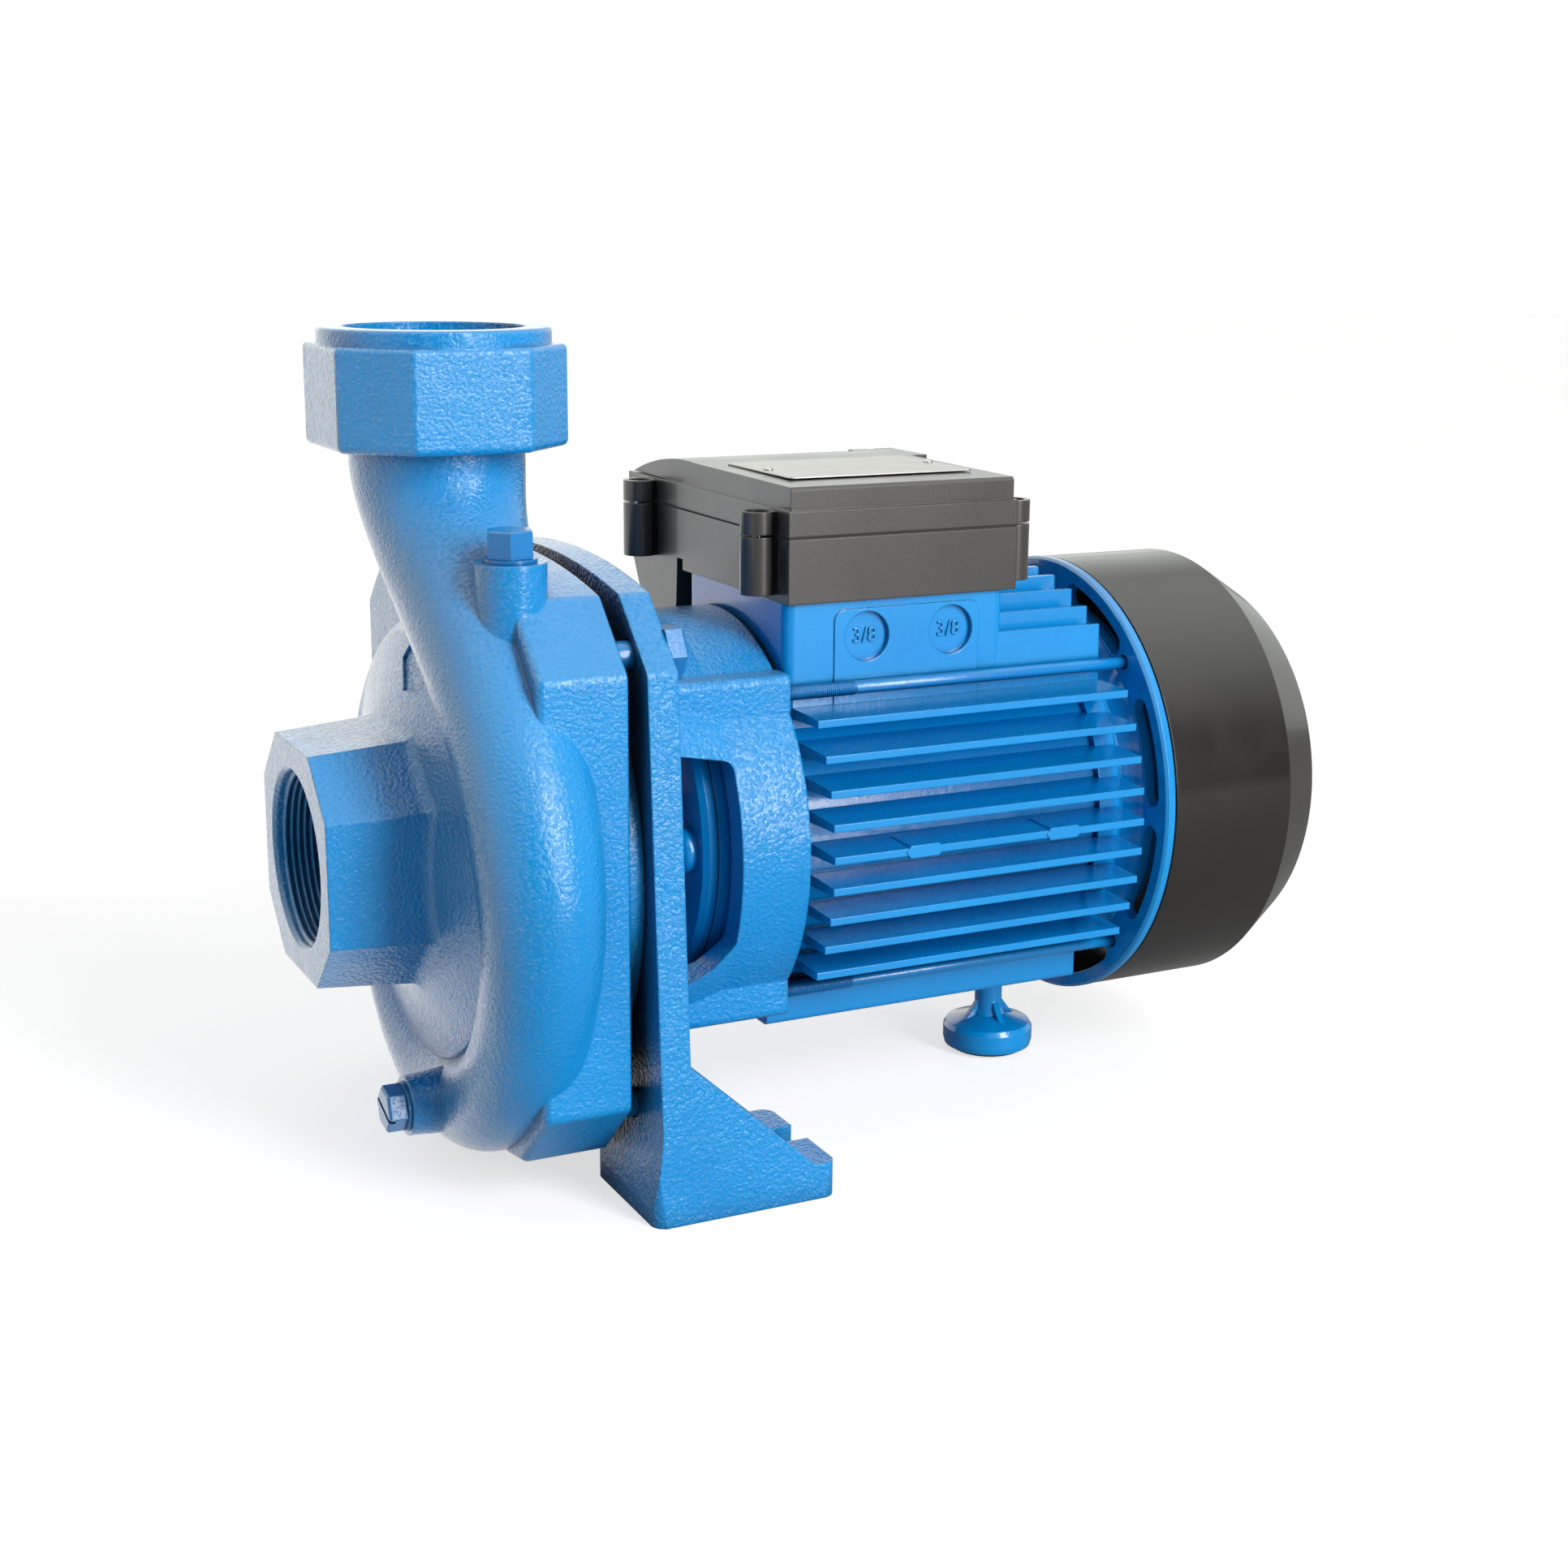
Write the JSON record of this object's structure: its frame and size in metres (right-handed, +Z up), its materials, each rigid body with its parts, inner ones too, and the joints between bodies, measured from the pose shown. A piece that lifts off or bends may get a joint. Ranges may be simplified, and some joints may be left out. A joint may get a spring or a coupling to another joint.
{
  "type": "centrifugal water pump",
  "caption": "Close-coupled centrifugal water pump: volute with threaded suction and discharge, finned motor with terminal box, fan cover and support foot.",
  "frame": {"origin": "ground plane, midway between the centres of the two foot-bolt slots", "axes": "+X along the shaft from the suction port towards the fan, +Z up along the discharge port, +Y completes the right-handed frame"},
  "size_m": [0.3737, 0.215, 0.2855],
  "materials": {
    "pump_paint": "semi-gloss over rough casting",
    "motor_paint": "semi-gloss paint on die-cast aluminium",
    "plug_paint": "semi-gloss paint",
    "fastener_paint": "semi-gloss paint",
    "gasket": "matt",
    "copper": "dull",
    "shaft_steel": "turned",
    "bearing_steel": "polished",
    "impeller_brass": "cast",
    "seal_rubber": "matt",
    "seal_ceramic": "lapped",
    "seal_carbon": "lapped",
    "lamination_steel": "stacked sheet",
    "cast_aluminium": "as cast",
    "fan_plastic": "moulded",
    "cover_plastic": "gloss",
    "box_plastic": "satin",
    "plate_aluminium": "satin",
    "capacitor_can": "moulded",
    "block_plastic": "moulded",
    "stud_brass": "turned"
  },
  "bodies": {
    "pump": {"volute_casing": "pump_paint", "motor_bracket": "pump_paint", "casing_gasket": "gasket", "priming_washer": "copper", "drain_washer": "copper", "casing_bolts": "fastener_paint", "seal_seat_cup": "seal_rubber", "seal_seat": "seal_ceramic", "wave_washer": "shaft_steel", "stator_core": "lamination_steel", "stator_windings": "copper", "front_shield": "motor_paint", "motor_housing": "motor_paint", "rear_shield": "motor_paint", "tie_rods": "fastener_paint", "tie_rod_nuts": "fastener_paint", "fan_cover": "cover_plastic", "support_foot": "motor_paint", "support_foot_screw": "shaft_steel", "terminal_box_base": "box_plastic", "lid_gasket": "gasket", "capacitor": "capacitor_can", "capacitor_strap": "cast_aluminium", "terminal_block": "block_plastic", "terminal_studs": "stud_brass", "terminal_nuts": "stud_brass", "front_bearing_outer_ring": "bearing_steel", "rear_bearing_outer_ring": "bearing_steel"},
    "rotor": {"shaft": "shaft_steel", "impeller": "impeller_brass", "impeller_key": "shaft_steel", "impeller_washer": "shaft_steel", "impeller_nut": "shaft_steel", "seal_face": "seal_carbon", "seal_bellows": "seal_rubber", "seal_spring": "shaft_steel", "water_slinger": "seal_rubber", "rotor_core": "lamination_steel", "rotor_end_rings": "cast_aluminium", "cooling_fan": "fan_plastic", "fan_circlip": "shaft_steel", "front_bearing_inner_ring": "bearing_steel", "front_bearing_balls": "bearing_steel", "front_bearing_cage": "bearing_steel", "rear_bearing_inner_ring": "bearing_steel", "rear_bearing_balls": "bearing_steel", "rear_bearing_cage": "bearing_steel"},
    "priming_plug": {"priming_plug": "plug_paint"},
    "drain_plug": {"drain_plug": "plug_paint"},
    "lid": {"terminal_box_lid": "box_plastic", "nameplate": "plate_aluminium", "nameplate_rivets": "plate_aluminium", "lid_screws": "shaft_steel"}
  },
  "joints": [
    {"name": "rotor_spin", "type": "hinge", "parent": "pump", "child": "rotor", "pos_m": [0, 0, 0.11], "axis": [-1, 0, 0], "continuous": true},
    {"name": "priming_plug_out", "type": "slide", "parent": "pump", "child": "priming_plug", "axis": [0, 0, 1], "range_m": [0, 0.03]},
    {"name": "drain_plug_out", "type": "slide", "parent": "pump", "child": "drain_plug", "axis": [-1, 0, 0], "range_m": [0, 0.03]},
    {"name": "lid_off", "type": "slide", "parent": "pump", "child": "lid", "axis": [0, 0, 1], "range_m": [0, 0.05]}
  ]
}
